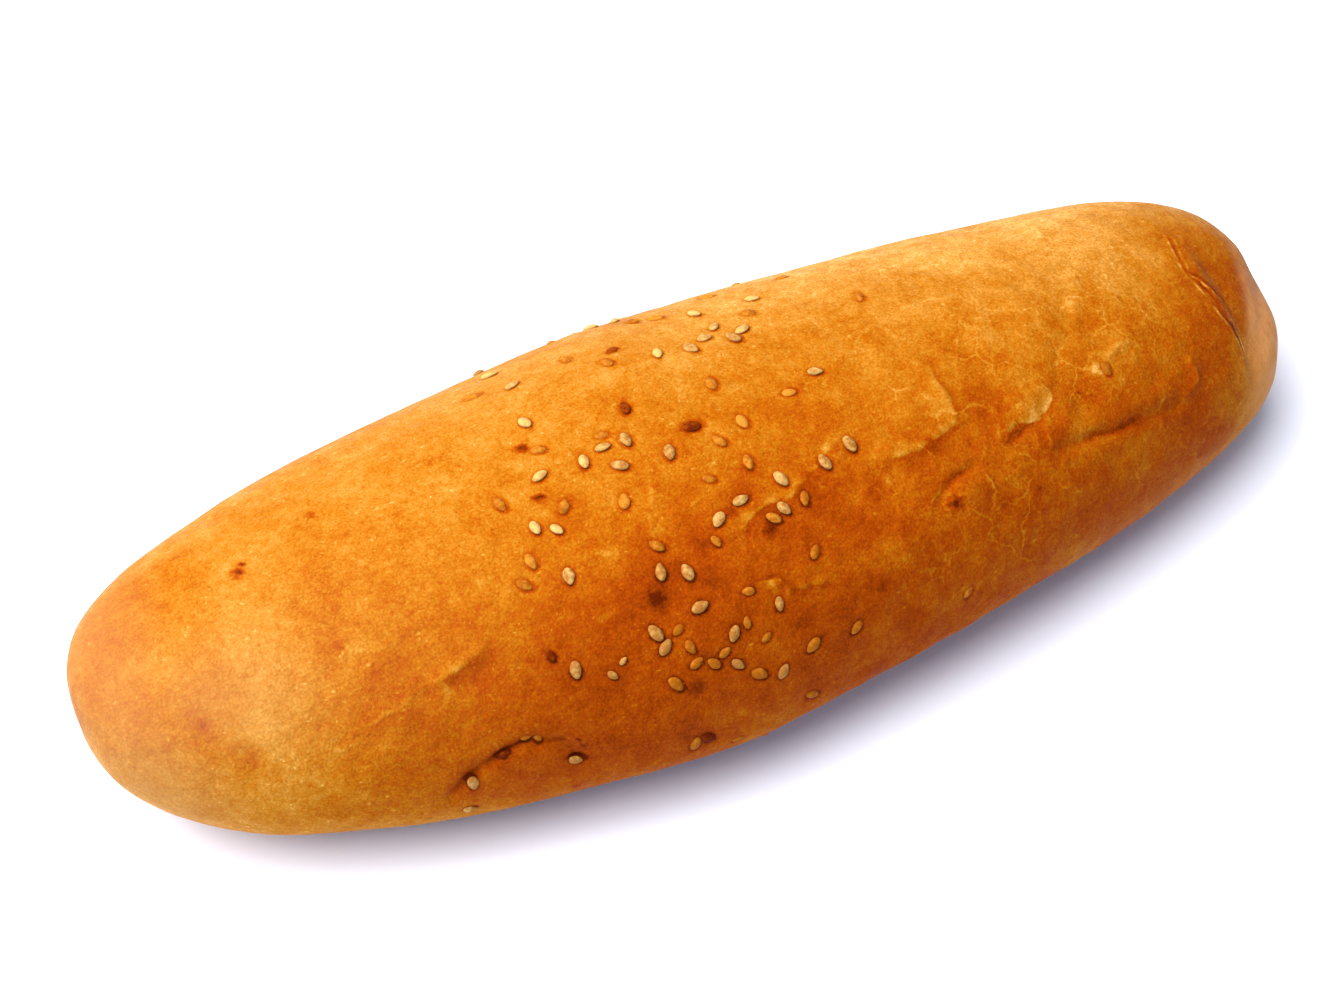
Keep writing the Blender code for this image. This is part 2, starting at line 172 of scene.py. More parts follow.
# Smooth loaf: a flattened oval section that narrows to both ends, bowed to the front.
def smoothLoaf(share, angle):
    s = loafShape
    toLeft = np.clip((s["widestAt"] - share) / (1 + s["widestAt"]), 0, 1)
    toRight = np.clip((share - s["widestAt"]) / (1 - s["widestAt"]), 0, 1)
    girth = np.where(
        share < s["widestAt"],
        np.clip(1 - toLeft ** s["leftEnd"][0], 0, 1) ** s["leftEnd"][1],
        np.clip(1 - toRight ** s["rightEnd"][0], 0, 1) ** s["rightEnd"][1],
    )
    tip = np.where(share < 0, s["leftTipRise"], -s["rightTipDrop"])
    middle = s["girthHeight"] + tip * np.abs(share) ** 3
    side, up = np.sin(angle), np.cos(angle)
    crown = (s["height"] - s["girthHeight"]) * girth ** s["crownFall"]
    above = middle + crown * np.abs(up) ** (2 / s["crownSquareness"])
    underRise = np.sqrt(np.clip(1 - np.abs(share) ** s["underRisePower"], 0, 1))
    below = middle - (middle + s["baseCut"]) * underRise * np.abs(up) ** (2 / s["underSquareness"])
    square = np.where(up > 0, s["crownSquareness"], s["underSquareness"])
    across = -s["width"] / 2 * girth * signedPower(side, 2 / square)
    across += s["slew"] * share - s["bow"] * (1 - share * share)
    height = np.maximum(np.where(up > 0, above, below), 0.0)
    place = np.stack([share * s["length"] / 2, across, height], -1)
    return place - np.array(s["boxMiddle"])


def crustPlaces(points):
    points = np.array(points, float)
    return smoothLoaf(points[..., 0] / 1000 / (loafShape["length"] / 2), np.radians(points[..., 1]))


# The way out of the crust and the way along it at one place.
def crustDirections(along, degrees):
    around = crustPlaces([(along, degrees + 0.5), (along, degrees - 0.5)])
    length = crustPlaces([(along + 0.5, degrees), (along - 0.5, degrees)])
    towards = Vector(around[0] - around[1])
    ahead = Vector(length[0] - length[1])
    return towards.cross(ahead).normalized(), ahead.normalized()


# Distance to a run of points and, with normals given, how far to the side of it each place lies.
def distanceToLine(places, points, normals=None):
    line = crustPlaces(points)
    nearest = np.full(len(places), 1.0)
    side = np.zeros(len(places))
    for start, end in zip(line[:-1], line[1:]):
        run = end - start
        share = np.clip((places - start) @ run / (run @ run), 0, 1)
        offset = places - start - share[:, None] * run
        away = np.linalg.norm(offset, axis=1)
        closer = away < nearest
        if normals is not None:
            left = np.cross(normals, run / np.linalg.norm(run))
            side = np.where(closer, (left * offset).sum(1), side)
        nearest = np.where(closer, away, nearest)
    return (nearest, side) if normals is not None else nearest


# Rounds off the corners of a run of points.
def smoothLine(points, cuts=2):
    points = np.array(points, float)
    for _ in range(cuts):
        first, second = points[:-1], points[1:]
        inner = np.stack([0.75 * first + 0.25 * second, 0.25 * first + 0.75 * second], 1)
        points = np.concatenate([points[:1], inner.reshape(-1, 2)[1:-1], points[-1:]])
    return points


# Where each kind of soft noise is read, so that no two are alike.
noisePlace = dict(
    swell=(-4.5, 1.0, -1.0), foldBend=(1, 2, 3), foldBreak=(5, 0, 2), pillow=(8, 1, 4),
    lump=(3, 0, 0), pucker=(0, 7, 0), bake=(4, 4, 1), spot=(2, 9, 1),
)


def noiseAt(places, waveLength, kind):
    shift = Vector(noisePlace[kind])
    return np.array([noise.noise(Vector(p) / waveLength + shift) for p in places])


# Height of the relief that the solid has too, down to none at the table.
def mainRelief(places):
    r = crustRelief
    height = np.zeros(len(places))
    for waveLength, rise in r["swells"]:
        height += rise * noiseAt(places, waveLength, "swell")
    for points, halfWidth, rise, shoulder in furrows.values():
        spread = halfWidth / 1000
        points = smoothLine(points)
        height += rise / 1000 * bell(distanceToLine(places, points), spread)
        if shoulder:
            lowered = places - np.array([0, 0, r["shoulderShift"]])
            height += shoulder / 1000 * bell(distanceToLine(lowered, points), 2 * spread)
    beyondFold = smoothStep((places[:, 0] - r["foldAt"]) / r["foldSpread"])
    inFront = smoothStep((r["foldBack"] - places[:, 1]) / r["foldBackSpread"])
    aboveLip = smoothStep((places[:, 2] - r["lipTop"]) / r["lipSpread"])
    height -= r["endSink"] * beyondFold * inFront * aboveLip
    return height * smoothStep(places[:, 2] / r["edgeFade"])


# Height and colour of the fine folds. Each fades towards its ends and wanders a little. A step
# is pale behind its high edge, partly paler crust and partly painted highlight, with painted shade
# below it, and a ridge or valley along its middle; a ridge is pale and a valley holds painted shade.
foldPlan = dict(
    paleAndHighlight=1.9, paintedShade=1.1, reach=0.0035, crest=0.0011, wander=0.00045, wanderLength=0.0021,
    breakLength=0.0017, broken=0.62, brokenWithin=(0.1, 1.2), near=0.012, endFade=0.0035, endLeft=0.25,
    stepSlope=0.5, dropEdge=0.35, lowAt=1.3, lowFade=3, ridgePale=0.6, ridgeDark=1.1,  # in widths
)


def foldRelief(places, normals):
    f = foldPlan
    height = np.zeros(len(places))
    bake = np.zeros(len(places))
    for points, width, step, ridge, pale, dark in skinFolds:
        width = width / 1000
        line = smoothLine(points)
        middle = crustPlaces(line)
        close = np.flatnonzero(
            ((places > middle.min(0) - f["near"]) & (places < middle.max(0) + f["near"])).all(1)
        )
        here = places[close]
        bend = f["wander"] * noiseAt(here, f["wanderLength"], "foldBend")
        away, side = distanceToLine(here + bend[:, None], line, normals[close])
        ends = np.minimum(
            np.linalg.norm(here - middle[0], axis=1), np.linalg.norm(here - middle[-1], axis=1)
        )
        fade = smoothStep(ends / f["endFade"] + f["endLeft"])
        broken = f["broken"] + noiseAt(here, f["breakLength"], "foldBreak")
        broken = np.clip(broken, *f["brokenWithin"])
        rise = ridge * bell(away, width)
        rise += step / 2 * np.tanh(side / (f["stepSlope"] * width)) * np.exp(-away / f["reach"])
        height[close] += rise / 1000 * fade
        if step:
            up = np.sign(step) * side
            drop = bell(up, f["dropEdge"] * width)
            edge = np.where(up > 0, np.exp(-np.abs(up) / f["crest"]), drop)
            lowAt = f["lowAt"] * width
            low = bell(up + lowAt, lowAt) * bell(away, f["lowFade"] * width)
        else:
            edge = bell(away, f["ridgePale"] * width)
            low = bell(away, f["ridgeDark"] * width)
        edge *= bell(np.abs(side) - away, width)
        # painted shade on the low side and along valleys; paler crust and painted highlight on high edges
        # and ridges
        bake[close] += fade * (f["paintedShade"] * dark * low - f["paleAndHighlight"] * pale * broken * edge)
    return height, bake


pillowPlan = dict(puff=1.25, uneven=0.5, unevenLength=0.004)  # higher, and with uneven rims


def pillowRelief(places):
    p = pillowPlan
    height = np.zeros(len(places))
    bake = np.zeros(len(places))
    centres = crustPlaces([pillow[:2] for pillow in pillows])
    uneven = 1 + p["uneven"] * noiseAt(places, p["unevenLength"], "pillow")
    for centre, (_, _, radius, rise, browningAndShade) in zip(centres, pillows):
        shape = bell(np.linalg.norm(places - centre, axis=1) * uneven, radius / 1000)
        height += p["puff"] * rise / 1000 * shape
        # partly the crust's own tone, partly painted shade in hollows and painted light on swells
        bake += browningAndShade * shape
    return height, bake


# Finer skin on the crust: wrinkles that gather towards the far end, and small lumps.
skinRelief = dict(
    wrinkle=dict(cell=0.0095, warp=0.25, warpLength=0.010, rise=0.00010, edge=0.20, draw=7),
    lump=dict(length=0.0052, rise=0.00010, least=0.5),
    pucker=dict(length=0.0021, rise=0.000035),
    sand=1.3, smoothWhereDull=0.9,  # sandy where it isn't wrinkled, smooth where it is dull
    gather=dict(start=-0.030, run=0.075, frontStart=0.012, frontRun=0.035, least=0.20, onCrown=0.30),
)


def wrinkleMask(places):
    g = skinRelief["gather"]
    right = smoothStep((places[:, 0] - g["start"]) / g["run"])
    front = smoothStep((g["frontStart"] - places[:, 1]) / g["frontRun"])
    return g["least"] + (1 - g["least"]) * right * (g["onCrown"] + (1 - g["onCrown"]) * front)


def wrinkleLines(places):
    w = skinRelief["wrinkle"]
    noise.seed_set(w["draw"])  # noise_vector draws its own places
    lines = np.empty(len(places))
    for number, place in enumerate(places):
        here = Vector(place)
        bend = noise.noise_vector(here / w["warpLength"]) * w["warp"]
        near = noise.voronoi(here / w["cell"] + bend)[0]
        lines[number] = near[1] - near[0]
    return bell(lines, w["edge"])


# How brown the crust is baked, 0 pale gold to 1 deep amber: a base, soft spots round the
# middle's front, and broad patches, each mm along, degrees round, spread mm along, spread
# degrees round, and how much browner.
bakePlan = dict(
    base=0.22,
    spots=dict(amount=0.19, length=0.0055, middle=-8, spread=32, backEdge=-40, backFade=50),
    patches=(
        (1, 41, 134, 84, 0.90),  # front belt
        (-109, 88, 42, 63, -0.51),  # pale near end
        (-57, 81, 33, 15, 0.24),
        (-86, 14, 8, 36, -0.20),
        (54, -32, 150, 94, -0.58),  # golden crown towards the far end
        (100, 38, 25, 51, 1.37),  # dark behind the far fold
        (-42, 10, 29, 25, -0.19),
        (101, 60, 13, 41, -1.22),  # pale lip, partly painted light from the white surroundings
        (107, 8, 7, 32, -0.25),
        (90, 22, 8, 16, -0.07),
        (67, 68, 9, 9, -0.08),
        (-32, 40, 14, 8, 0.08),
        (30, 60, 7, 7, -0.05),
        (-106, -24, 12, 22, 0.07),
        (-108, 25, 9, 45, 0.03),
        (0, 24, 8, 8, 0.08),
        (-25, 36, 7, 7, 0.28),
        (0, 43, 7, 9, -0.13),
        (-17, 49, 6, 6, 0.10),
        (16, 66, 9, 9, 0.06),
        (-90, 92, 20, 10, 0.05),
        (-110, 45, 10, 50, 0.07),
        (9, -112, 132, 42, 0.57),  # back flank
        (-102, 77, 9, 27, 0.16),
        (84, 24, 16, 39, -0.60),
        (-97, -24, 15, 16, 0.15),
        (48, 88, 18, 7, 0.06),
        (20, -8, 31, 7, 0.07),
    ),
)


def bakeField(along, degrees, places):
    s = bakePlan["spots"]
    inFront = smoothStep((degrees - s["backEdge"]) / s["backFade"])
    within = bell(along - s["middle"], s["spread"]) * inFront
    bake = bakePlan["base"] + s["amount"] * within * noiseAt(places, s["length"], "bake")
    for middle, turn, alongSpread, turnSpread, amount in bakePlan["patches"]:
        away = (degrees - turn + 180) % 360 - 180
        bake += amount * bell(along - middle, alongSpread) * bell(away, turnSpread)
    return bake


# Dull and pale skin: where the loaf lay, the edge above that, a band low on the front, and the
# smooth lip at the far end, beyond an edge that is given as degrees round and mm along. The band and
# the lip are partly paler crust and partly painted light from the white floor and surroundings. How soft
# and how strong the lip is are given as least, how much more, and from and over what degrees.
dullSkin = dict(
    lipEdge=(
        (-90, -30, 10, 25, 37, 44, 51, 60, 75, 85, 135),
        (110.5, 109.0, 107.4, 105.8, 103.8, 102.3, 101.0, 100.1, 98.6, 97.5, 96.5),
    ),
    lipSoft=(2.0, 4.0, 42, 20), lipStrength=(0.62, 0.26, 25, 20), lipBack=(-75, 65), lipFront=(150, 80),
    band=0.22, bandStart=30, bandRun=50, bandAt=96, bandSpread=10,
    edge=0.16, edgeTop=0.007, edgeFade=0.006, base=0.8, baseTop=0.0012, baseFade=0.001,
)


def underField(along, degrees, places):
    d = dullSkin
    least, more, start, over = d["lipSoft"]
    soft = least + more * smoothStep((degrees - start) / over)
    lip = smoothStep(0.5 + (along - np.interp(degrees, *d["lipEdge"])) / (2 * soft))
    lip *= smoothStep((degrees - d["lipBack"][0]) / d["lipBack"][1])
    least, more, start, over = d["lipStrength"]
    fade = smoothStep((d["lipFront"][0] - degrees) / d["lipFront"][1])
    lip *= fade * (least + more * smoothStep((degrees - start) / over))
    band = d["band"] * smoothStep((along - d["bandStart"]) / d["bandRun"])
    band = band * bell(degrees - d["bandAt"], d["bandSpread"])
    edge = d["edge"] * smoothStep((d["edgeTop"] - places[:, 2]) / d["edgeFade"])
    base = d["base"] * smoothStep((d["baseTop"] - places[:, 2]) / d["baseFade"])
    return np.maximum.reduce([lip, band, edge, base])


# A thin bloom of flour on the near end: all of its tip, and patches as for the bake.
flourBloom = dict(
    tip=0.30, tipFrom=-90, tipRun=18, patches=((-94, 32, 17, 24, 0.26), (-88, 26, 28, 30, 0.09)),
)


def flourField(along, degrees):
    flour = flourBloom["tip"] * smoothStep((flourBloom["tipFrom"] - along) / flourBloom["tipRun"])
    for middle, turn, alongSpread, turnSpread, amount in flourBloom["patches"]:
        patch = amount * bell(along - middle, alongSpread) * bell(degrees - turn, turnSpread)
        flour = np.maximum(flour, patch)
    return flour


# Blisters and scorched spots: mm along, degrees round, radius mm, how much browner.
scorches = (
    (-82, -7, 0.85, 1.3), (-81.3, -9, 0.4, 1.5), (-82.7, -6, 0.4, 1.6), (-81.6, -5.5, 0.35, 1.2),
    (-67.8, -15.3, 0.6, 0.75), (-70.8, -13.9, 0.6, 0.3), (-73.2, 25.5, 0.9, 0.42),
    (-88, 27, 0.45, 0.35), (-85.5, 32, 0.4, 0.28), (-106, 25, 0.5, 0.2), (-103, 24, 0.5, 0.2),
    (-64, 18, 0.4, 0.35), (-45.5, 0, 0.7, 0.22), (-45.5, 4, 0.6, 0.22), (30, 48, 1.15, 0.95),
    (47, 57, 1.0, 0.35), (13, 61, 1.2, 0.30), (59.5, 34, 0.35, 0.6), (-24.2, 40, 1.2, 0.60),
    (-32.4, -7.8, 0.8, 1.5), (-34.1, 5.7, 0.75, 1.6), (-46, 45, 0.35, 0.7), (-22.6, 67, 1.3, 0.45),
    (-2, 33.5, 1.2, 0.75), (-7, 26, 1.0, 0.70), (-22, 86, 1.2, 0.35), (-43, 73, 0.35, 0.8),
    (-44, 96, 0.5, 0.6), (-55.5, -52, 0.4, 0.9), (-96.5, 43, 0.8, 0.15), (-44.2, 80, 0.9, 0.6),
    (-60.7, 79.5, 0.8, 0.6), (-55.1, 72, 1.2, 0.5), (-43.2, 46, 0.9, 0.45), (-13.7, -6.5, 1.0, 0.4),
    (-5.7, 3, 1.9, 0.35), (-42.5, 76, 0.4, 0.6),
)

# Pale scuffs and flakes: the same, but how much paler.
scuffs = (
    (-49, 21, 0.6, 0.35), (-47.5, 21, 0.4, 0.3), (65, 30, 0.7, 0.7), (65.6, 32, 0.6, 0.6),
    (64.3, 31, 0.4, 0.6), (43, 73, 0.45, 0.6), (18.5, 57, 0.6, 0.4), (20.5, 34, 0.8, 0.3),
    (-48.5, 17, 0.4, 0.35), (16, 55, 0.4, 0.25),
)


raggedSpots = dict(amount=0.7, length=0.0007)  # how uneven their rims are


def spotField(places, spots):
    field = np.zeros(len(places))
    centres = crustPlaces([spot[:2] for spot in spots])
    ragged = 1 + raggedSpots["amount"] * noiseAt(places, raggedSpots["length"], "spot")
    for centre, (_, _, radius, depth) in zip(centres, spots):
        away = np.linalg.norm(places - centre, axis=1) * ragged
        field = np.maximum(field, depth * bell(away, radius / 1000))
    return field


def readMesh(mesh, field):
    values = np.empty(len(mesh.vertices) * 3, np.float32)
    mesh.vertices.foreach_get(field, values)
    return values.reshape(-1, 3).astype(float)


def newMesh(name, shape):
    mesh = bpy.data.meshes.new(name)
    shape.to_mesh(mesh)
    shape.free()
    return mesh


def newObject(name, mesh):
    piece = bpy.data.objects.new(name, mesh)
    bpy.context.scene.collection.objects.link(piece)
    return piece


# Dark rings round each seed, partly browner crust where it closed round the seed and partly painted
# contact shade, with more painted shadow on the side away from the key light, and the small dip it
# lies in. The ring's width and the dip's reach are in half seeds.
ringPlan = dict(
    near=0.004, strength=0.85, awayFromKeyShade=0.45, width=0.30, browningAndShade=0.6, dipReach=1.5, dipDepth=0.00010,
)


def seedRings(places, seeds):
    r = ringPlan
    ring = np.zeros(len(places))
    dip = np.zeros(len(places))
    for along, degrees, turned, size in seeds:
        centre = crustPlaces((along, degrees))
        _, pointing, crossing = seedDirections(along, degrees, turned)
        close = np.flatnonzero(np.abs(places - centre).max(1) < r["near"])
        offset = places[close] - centre
        lengthwise = offset @ np.array(pointing) / (sesame["length"] * size / 2)
        crosswise = offset @ np.array(crossing) / (sesame["width"] * size / 2)
        reach = np.hypot(lengthwise, crosswise)
        side = offset @ np.array(keyShadowSide) / np.maximum(np.linalg.norm(offset, axis=1), 1e-6)
        # painted shadow is stronger on the side away from the key light
        around = (r["strength"] + r["awayFromKeyShade"] * side) * bell(reach - 1.0, r["width"])
        ring[close] = np.maximum(ring[close], around)
        dip[close] = np.maximum(dip[close], np.exp(-((reach / r["dipReach"]) ** 4)))
    return ring, dip


# The crust's grid: faces round and along, how much they gather at the loaf's middle and on its
# front, at how many degrees, and how near to folds and seeds each of two refinings reaches.
crustGrid = dict(
    roundFaces=204, longFaces=296, middleGather=0.10, frontGather=0.48, frontGatherAt=28,
    fineWithin=(0.0026, 0.0012),
)


def gridPlaces(shape, layers):
    share, angle = [np.array([vertex[layer] for vertex in shape.verts]) for layer in layers]
    return share, angle, smoothLoaf(share, angle)


def buildCrust(seeds):
    g = crustGrid
    shape = bmesh.new()
    bmesh.ops.create_uvsphere(shape, u_segments=g["roundFaces"], v_segments=g["longFaces"], radius=1)
    layers = [shape.verts.layers.float.new(label) for label in ("share", "angle")]
    for vertex in shape.verts:
        down = math.acos(max(-1, min(1, vertex.co.z)))
        vertex[layers[0]] = math.cos(down + g["middleGather"] * math.sin(2 * down))
        turn = math.atan2(-vertex.co.y, vertex.co.x)
        vertex[layers[1]] = turn - g["frontGather"] * math.sin(turn - math.radians(g["frontGatherAt"]))

    # Smaller faces along the folds and round the seeds, then once more along the folds.
    for reach, nearSeeds in zip(g["fineWithin"], (seeds, ())):
        shape.verts.ensure_lookup_table()
        places = gridPlaces(shape, layers)[2]
        near = np.zeros(len(places), bool)
        for fold in skinFolds:
            near |= distanceToLine(places, smoothLine(fold[0])) < reach
        for along, degrees, _, _ in nearSeeds:
            near |= np.linalg.norm(places - crustPlaces((along, degrees)), axis=1) < reach
        edges = [e for e in shape.edges if near[e.verts[0].index] and near[e.verts[1].index]]
        bmesh.ops.subdivide_edges(shape, edges=edges, cuts=1, use_grid_fill=True)

    share, angle, places = gridPlaces(shape, layers)
    for vertex, place in zip(shape.verts, places):
        vertex.co = place
    bmesh.ops.recalc_face_normals(shape, faces=shape.faces)
    mesh = newMesh("crust", shape)
    mesh.update()
    return mesh, share * 1000 * loafShape["length"] / 2, np.degrees(angle)


def shapeCrust(seeds):
    mesh, along, degrees = buildCrust(seeds)
    places = readMesh(mesh, "co")
    normals = readMesh(mesh, "normal")
    wrinkles = wrinkleMask(places)
    foldHeight, foldBake = foldRelief(places, normals)
    pillowHeight, pillowBake = pillowRelief(places)
    ring, dip = seedRings(places, seeds)

    k = skinRelief
    fine = k["wrinkle"]["rise"] * wrinkles * wrinkleLines(places)
    lumps = k["lump"]["rise"] * (k["lump"]["least"] + wrinkles)
    fine += lumps * noiseAt(places, k["lump"]["length"], "lump")
    fine += k["pucker"]["rise"] * noiseAt(places, k["pucker"]["length"], "pucker")
    fine += foldHeight + pillowHeight - ringPlan["dipDepth"] * dip
    fine *= smoothStep(places[:, 2] / crustRelief["edgeFade"])
    moved = places + normals * (mainRelief(places) + fine)[:, None]
    moved[:, 2] = np.maximum(moved[:, 2], 0.0)
    mesh.vertices.foreach_set("co", moved.astype(np.float32).ravel())
    mesh.update()

    under = underField(along, degrees, places)
    bake = bakeField(along, degrees, places) + foldBake + pillowBake
    # the rings add browner crust and painted contact shade round the seeds
    bake += spotField(places, scorches) - spotField(places, scuffs) + ringPlan["browningAndShade"] * ring
    fields = dict(
        bake=bake, under=under, flour=flourField(along, degrees),
        wrinkle=wrinkles * (1 - k["smoothWhereDull"] * under), sand=k["sand"] - wrinkles,
    )
    for name, values in fields.items():
        field = mesh.attributes.new(name, "FLOAT", "POINT")
        field.data.foreach_set("value", values.astype(np.float32))
    mesh.shade_smooth()
    triangles = sum(len(face.vertices) - 2 for face in mesh.polygons)
    print("crust shaped:", len(mesh.polygons), "faces,", triangles, "triangles")
    return newObject("crust", mesh)


# Sesame: the even seed's sizes in metres, and each seed as mm along, degrees round,
# degrees turned from the loaf's length and size, for each kind: lying on the crust,
# glazed and half sunk, and burnt.
sesame = dict(
    length=0.0030, width=0.0019, thickness=0.0010, point=(0.12, 0.34), breadth=(0.92, 1.08),
    tilt=0.16, bend=0.12, keel=0.20, keelWidth=0.16, rimWidth=0.36, roundFaces=12, longFaces=8, draw=11,
    shade=(0.2, 0.95), browning=0.95, browningFrom=5, browningOver=45,  # browner on the front
    lift=dict(sesamePale=0.00016, sesameGlazed=-0.00008, sesameBurnt=0.0),
    sesamePale=(
        (-6.4, -55.2, 133, 1.03), (-2.3, -53, 76, 0.97), (19.2, -34, 150, 0.87),
        (-27.8, -45.9, 165, 1.02), (-26.8, -31.4, 13, 0.93), (-2.8, -20.7, 75, 0.93),
        (2.8, -19, 120, 1.03), (8.6, -35.4, 116, 0.93), (6.2, -21.4, 175, 0.88),
        (9.3, -25.3, 52, 0.87), (10.6, -18.1, 110, 1.1), (12.9, -20.2, 23, 1.01),
        (18.8, 0.4, 159, 0.9), (-29.3, -14.6, 102, 1), (-32.2, 0.8, 20, 0.99),
        (-20.6, 0.1, 177, 0.94), (-16.6, 0.4, 88, 1.07), (-19.7, 5.5, 143, 1.04),
        (-24.6, 1.5, 79, 0.97), (-11.3, 6.9, 72, 1.07), (3.4, 23, 105, 1.05), (11.7, 23.2, 98, 1.07),
        (17.2, 21.4, 94, 1.1), (-4.6, 24.2, 6, 0.99), (-9.4, 26.7, 41, 1), (1.6, 30.2, 114, 0.92),
        (-37.1, 12.5, 94, 0.9), (-34.1, 14.8, 123, 0.83), (-35.8, 27, 83, 1), (-21.9, 33.7, 79, 1.03),
        (-17.9, 36.1, 98, 1.02), (-18.2, 45.6, 10, 1.03), (-5.4, 52.9, 76, 0.83),
        (-14.3, 55.7, 55, 0.96), (-26.4, 48.2, 118, 1.07), (-25.7, 52.7, 42, 1),
        (-15.1, 64.6, 132, 0.84), (-7.8, 72.7, 51, 0.93), (-40.4, 51, 84, 1), (-32.8, 52.7, 34, 0.53),
        (-35.1, 55.7, 133, 0.65), (-43.8, 80.9, 161, 0.83), (-60.7, 81.1, 100, 0.96),
        (-61.4, 95.8, 2, 0.83), (-27.2, -61.5, 40, 1), (-12.5, -72, 112, 0.95),
        (1.5, -66.4, 18, 1.02), (9, -81, 75, 0.9), (-3.2, -88.5, 140, 1),
    ),
    sesameGlazed=(
        (-13.9, -55.9, 50, 0.9), (-0.8, -44.5, 118, 1.03), (2.8, -41.4, 133, 1.03),
        (14.1, -47.7, 154, 0.94), (27.6, -43.8, 7, 0.91), (-33.4, -35.6, 163, 1.03),
        (-16.3, -32.8, 97, 0.9), (-11.2, -23.9, 113, 1), (16.2, -27, 144, 0.93),
        (1.8, -5.7, 85, 1.03), (12.7, 2.9, 168, 0.86), (34.8, -18.1, 78, 0.9),
        (-30.1, -5.3, 157, 0.92), (-40.2, 3.6, 100, 1.03), (-31.2, 9.9, 54, 1.03),
        (-19.7, -2.7, 165, 0.82), (2.7, 5.7, 90, 1.03), (-2.7, 8.5, 113, 0.98), (-0.2, 16, 79, 0.98),
        (-7.6, 16.5, 145, 0.81), (-22.1, 14.1, 70, 1.03), (-11.4, 31.4, 106, 0.75),
        (-0.7, 31.4, 137, 0.97), (5.7, 29.8, 71, 0.92), (3.6, 43.8, 49, 0.89),
        (-40.2, 20.2, 96, 1.02), (-42.8, 25.3, 133, 0.96), (-20.6, 27.2, 130, 0.96),
        (-9.7, 46.3, 164, 0.78), (-11.6, 54.1, 81, 0.75), (-9.2, 60.4, 25, 0.73),
        (-22.8, 49.4, 28, 0.75), (-21.8, 55, 106, 0.87), (-21.6, 59.9, 26, 0.9),
        (-18.9, 61.8, 135, 0.87), (-16.7, 59.9, 22, 0.8), (-11.9, 70.4, 148, 1.03),
        (-1.6, 69, 29, 1.03), (6.7, 70.2, 36, 0.92), (28.8, 79, 39, 0.83), (-25.8, 64.1, 125, 1.03),
        (-2.9, 87, 147, 0.93), (-24.3, 87.4, 68, 0.98), (-16.8, 93.5, 0, 0.73),
        (-10.9, 105.4, 109, 0.8), (-51.1, 68.5, 179, 0.63), (-49.3, 69.7, 120, 0.66),
        (66.9, 31.9, 88, 0.92), (-21, -78.3, 95, 0.92), (-8.1, -63.7, 60, 0.97),
        (12.8, -70.2, 155, 0.88), (22.4, -60.8, 30, 0.94), (-15.6, -91, 10, 0.9),
    ),
    sesameBurnt=(
        (-8.9, -28.4, 19, 0.87), (-13.7, -7.1, 83, 0.98), (-5.7, 2.7, 163, 1.13),
        (-43.2, 45.4, 103, 0.68), (-22.3, 86.5, 141, 0.97), (-55.1, 72, 21, 0.74),
        (4.6, -75.5, 120, 0.85),
    ),
)
kinds = ("sesamePale", "sesameGlazed", "sesameBurnt")
keyShadowSide = Vector((0.40, -0.80, -0.46))  # painted shadow falls on this side of the seeds and the crust beside them, away from the key light


# The way out of the crust at a seed, the way it points, and the way across it.
def seedDirections(along, degrees, turned):
    outward, ahead = crustDirections(along, degrees)
    turn = math.radians(turned)
    pointing = ahead * math.cos(turn) + outward.cross(ahead) * math.sin(turn)
    return outward, pointing, outward.cross(pointing)


# A seed is a flat egg shape, pointed at one end, with a slight keel, sunk into the crust.
def addSeed(shape, seed, lift, surface, draw, layers):
    s = sesame
    along, degrees, turned, size = seed
    outward, pointing, across = seedDirections(along, degrees, turned)
    centre = surface.find_nearest(Vector(crustPlaces((along, degrees))))[0] + outward * lift
    tilted = (outward + across * draw.uniform(-s["tilt"], s["tilt"])).normalized()
    crossing = tilted.cross(pointing).normalized()
    pointing = pointing * draw.choice((-1, 1))
    point = draw.uniform(*s["point"])
    width = s["width"] * size * draw.uniform(*s["breadth"])
    bend = draw.uniform(-s["bend"], s["bend"])
    browner = s["browning"] * float(smoothStep((degrees - s["browningFrom"]) / s["browningOver"]))
    shade = draw.uniform(*s["shade"]) * (1 - browner)
    faces = dict(u_segments=s["roundFaces"], v_segments=s["longFaces"])
    made = bmesh.ops.create_uvsphere(shape, radius=0.5, **faces)
    for vertex in made["verts"]:
        reach = vertex.co.z
        narrowing = 1 - point * 2 * max(reach, 0)
        keel = 1 + s["keel"] * max(0, 1 - abs(vertex.co.x) / s["keelWidth"])
        edgeShade = 1 - min(1, abs(vertex.co.y) / s["rimWidth"])
        flat = pointing * reach * s["length"] * size
        flat += crossing * (vertex.co.x * narrowing + bend * (0.25 - reach * reach)) * width
        vertex.co = centre + flat + tilted * vertex.co.y * s["thickness"] * size * narrowing * keel
        vertex[layers[0]] = shade
        # painted shade round the seed's edge, strongest on the side away from the key light
        vertex[layers[1]] = edgeShade * (0.5 + 0.5 * flat.normalized().dot(keyShadowSide))


def buildSesame(crust):
    surface = BVHTree.FromObject(crust, bpy.context.evaluated_depsgraph_get())
    draw = random.Random(sesame["draw"])
    pieces = []
    for name in kinds:
        shape = bmesh.new()
        layers = [shape.verts.layers.float.new(label) for label in ("shade", "edgeShade")]
        for seed in sesame[name]:
            addSeed(shape, seed, sesame["lift"][name], surface, draw, layers)
        bmesh.ops.recalc_face_normals(shape, faces=shape.faces)
        mesh = newMesh(name, shape)
        mesh.shade_smooth()
        pieces.append(newObject(name, mesh))
        print(name, "laid:", len(sesame[name]), "seeds")
    return pieces


crust = shapeCrust([seed for name in kinds for seed in sesame[name]])
seedPieces = buildSesame(crust)


